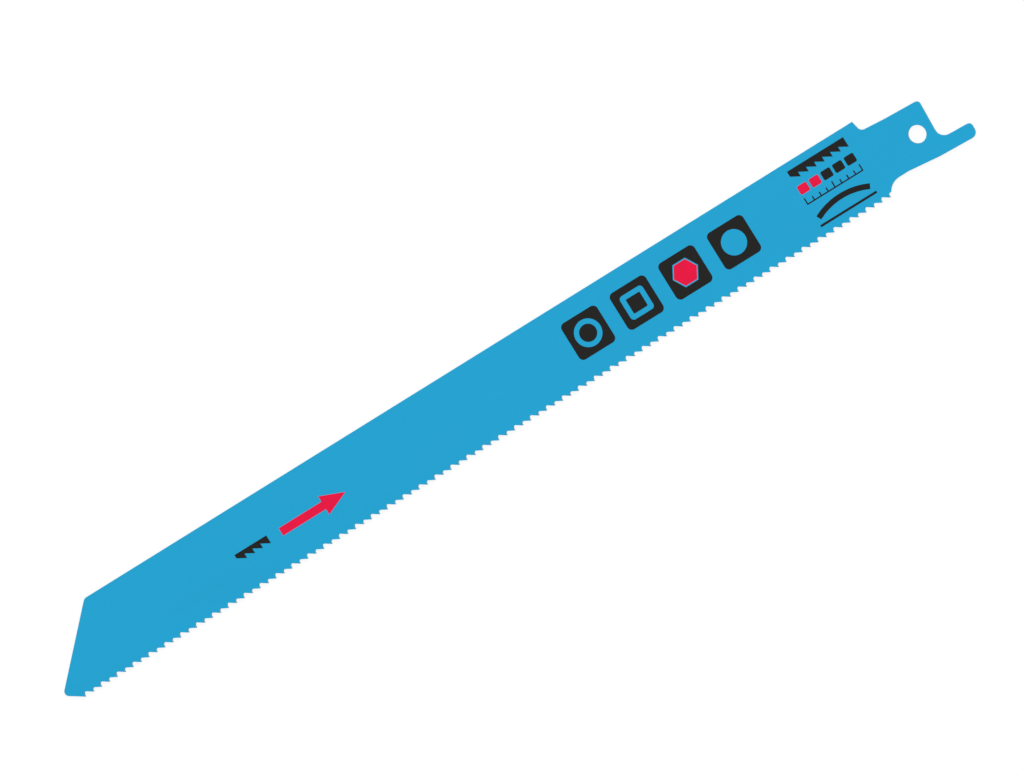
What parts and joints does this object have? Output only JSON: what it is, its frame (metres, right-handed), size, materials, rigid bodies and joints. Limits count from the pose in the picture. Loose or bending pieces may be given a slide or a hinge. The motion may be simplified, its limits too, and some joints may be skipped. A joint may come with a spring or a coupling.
{
  "type": "reciprocating saw blade",
  "caption": "Straight flat reciprocating saw blade with fine side-set teeth, a slanted nose and a hooked half-inch tang with a locking hole.",
  "frame": {"origin": "centre of the tang's locking hole, at half the blade's thickness", "axes": "+X along the back edge towards the end of the tang, +Y from the teeth to the back edge, +Z out of the blade's side"},
  "size_m": [0.225, 0.0175, 0.0014],
  "materials": {
    "enamel": "satin light blue enamel over steel, thinner on the cut edges and ground through to bare steel at the tooth tips",
    "dark_print": "near-black printing ink",
    "red_print": "crimson printing ink"
  },
  "bodies": {
    "root": {"saw_blade": "enamel"}
  },
  "joints": []
}
